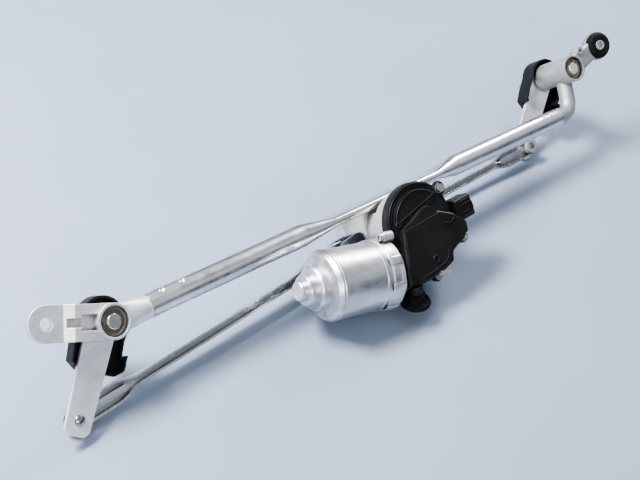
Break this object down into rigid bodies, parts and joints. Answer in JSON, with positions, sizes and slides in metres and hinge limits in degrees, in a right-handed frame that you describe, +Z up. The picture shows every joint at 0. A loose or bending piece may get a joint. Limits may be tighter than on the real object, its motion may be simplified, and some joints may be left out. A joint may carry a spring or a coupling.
{
  "type": "windshield wiper linkage",
  "caption": "Windshield wiper linkage: tubular frame, geared motor, crank, drive rods and levers that sweep two splined wiper spindles.",
  "frame": {"origin": "centre of the bounding box, at the height of the lowest point, laid down with the motor cover side up", "axes": "+X along the frame tube from the left spindle housing to the right one, +Z up, +Y away from the motor, towards the spindle noses"},
  "size_m": [0.7054, 0.1926, 0.1188],
  "materials": {
    "zinc_tube": "zinc plated, streaky",
    "cast_light": "as cast, pale",
    "cast_grey": "as cast, grey",
    "grommet_rubber": "matte",
    "sleeve_steel": "plated",
    "bush_bronze": "sintered",
    "spindle_steel": "ground",
    "ring_steel": "spring steel",
    "washer_steel": "plated",
    "shield_plastic": "moulded",
    "lever_steel": "zinc plated",
    "stud_steel": "turned",
    "rod_steel": "zinc plated",
    "socket_plastic": "moulded",
    "socket_light": "moulded, grey",
    "crank_steel": "zinc plated",
    "wheel_plastic": "moulded, natural",
    "plate_steel": "zinc plated",
    "bolt_steel": "zinc plated",
    "housing_alu": "die cast",
    "cover_plastic": "moulded, fine grain",
    "connector_plastic": "moulded",
    "pin_brass": "plated",
    "board": "lacquered",
    "yoke_steel": "drawn, plated",
    "ferrite": "sintered",
    "core_steel": "laminated",
    "copper": "enamelled wire",
    "brush_plastic": "moulded",
    "carbon": "pressed",
    "peg_steel": "black coated",
    "foot_rubber": "matte"
  },
  "bodies": {
    "frame": {"frame_tube": "zinc_tube", "left_bracket": "cast_light", "right_bracket": "cast_grey", "mount_grommet": "grommet_rubber", "grommet_sleeve": "sleeve_steel", "left_bush": "bush_bronze", "right_bushes": "bush_bronze", "motor_plate": "plate_steel", "plate_bolts": "bolt_steel", "gear_housing": "housing_alu", "gear_cover": "cover_plastic", "cover_screws": "bolt_steel", "motor_connector": "connector_plastic", "connector_pins": "pin_brass", "circuit_board": "board", "motor_yoke": "yoke_steel", "yoke_magnets": "ferrite", "yoke_screw": "bolt_steel", "nose_bearing": "bush_bronze", "worm_bearing": "bush_bronze", "thrust_plug": "spindle_steel", "brush_plate": "brush_plastic", "carbon_brushes": "carbon", "output_bush": "bush_bronze", "locating_peg": "peg_steel", "peg_foot": "foot_rubber"},
    "left_lever": {"left_spindle": "spindle_steel", "left_lever": "lever_steel", "left_ball_stud": "stud_steel", "left_circlip": "ring_steel", "left_washers": "washer_steel", "left_shield": "shield_plastic"},
    "right_lever": {"right_spindle": "spindle_steel", "right_lever": "lever_steel", "right_ball_stud": "stud_steel", "right_circlip": "ring_steel", "right_washers": "washer_steel", "right_shield": "shield_plastic"},
    "left_rod": {"left_rod": "rod_steel", "left_rod_sockets": "socket_plastic", "crank_stud": "stud_steel"},
    "right_rod": {"right_rod": "rod_steel", "right_rod_sockets": "socket_light", "link_stud": "stud_steel"},
    "crank": {"output_shaft": "spindle_steel", "worm_wheel": "wheel_plastic", "crank_arm": "crank_steel", "crank_nut": "crank_steel"},
    "armature": {"armature_shaft": "spindle_steel", "armature_core": "core_steel", "armature_windings": "copper", "commutator": "copper"}
  },
  "joints": [
    {"name": "crank_turn", "type": "hinge", "parent": "frame", "child": "crank", "pos_m": [-0.00154, -0.0296, 0.05129], "axis": [-0.0035, -0.7427, 0.6696], "range_deg": [0, 180]},
    {"name": "left_pivot", "type": "hinge", "parent": "frame", "child": "left_lever", "pos_m": [-0.28966, -0.00884, 0.0728], "axis": [0.1248, -0.7666, 0.6299], "range_deg": [0, 72.03]},
    {"name": "right_pivot", "type": "hinge", "parent": "frame", "child": "right_lever", "pos_m": [0.28842, 0.02859, 0.09837], "axis": [-0.1317, -0.7049, 0.6969], "range_deg": [0, 64.47]},
    {"name": "left_rod_ball", "type": "hinge", "parent": "left_lever", "child": "left_rod", "pos_m": [-0.33824, -0.02859, 0.01075], "axis": [-0.147, 0.7487, -0.6464], "range_deg": [0, 70.22]},
    {"name": "right_rod_ball", "type": "hinge", "parent": "right_lever", "child": "right_rod", "pos_m": [0.23879, 0.02116, 0.01763], "axis": [0.1355, 0.6742, -0.726], "range_deg": [0, 69.43]},
    {"name": "armature_spin", "type": "hinge", "parent": "frame", "child": "armature", "pos_m": [-0.00936, -0.05623, 0.02619], "axis": [0.9779, -0.1426, -0.1531], "range_deg": [-0.1, 9720.1]}
  ],
  "couplings": [
    {"joint": "left_pivot", "follows": "crank_turn", "ratio": 0.40009},
    {"joint": "right_pivot", "follows": "crank_turn", "ratio": 0.35813},
    {"joint": "left_rod_ball", "follows": "crank_turn", "ratio": 0.39003},
    {"joint": "right_rod_ball", "follows": "crank_turn", "ratio": 0.38565},
    {"joint": "armature_spin", "follows": "crank_turn", "ratio": 54}
  ]
}
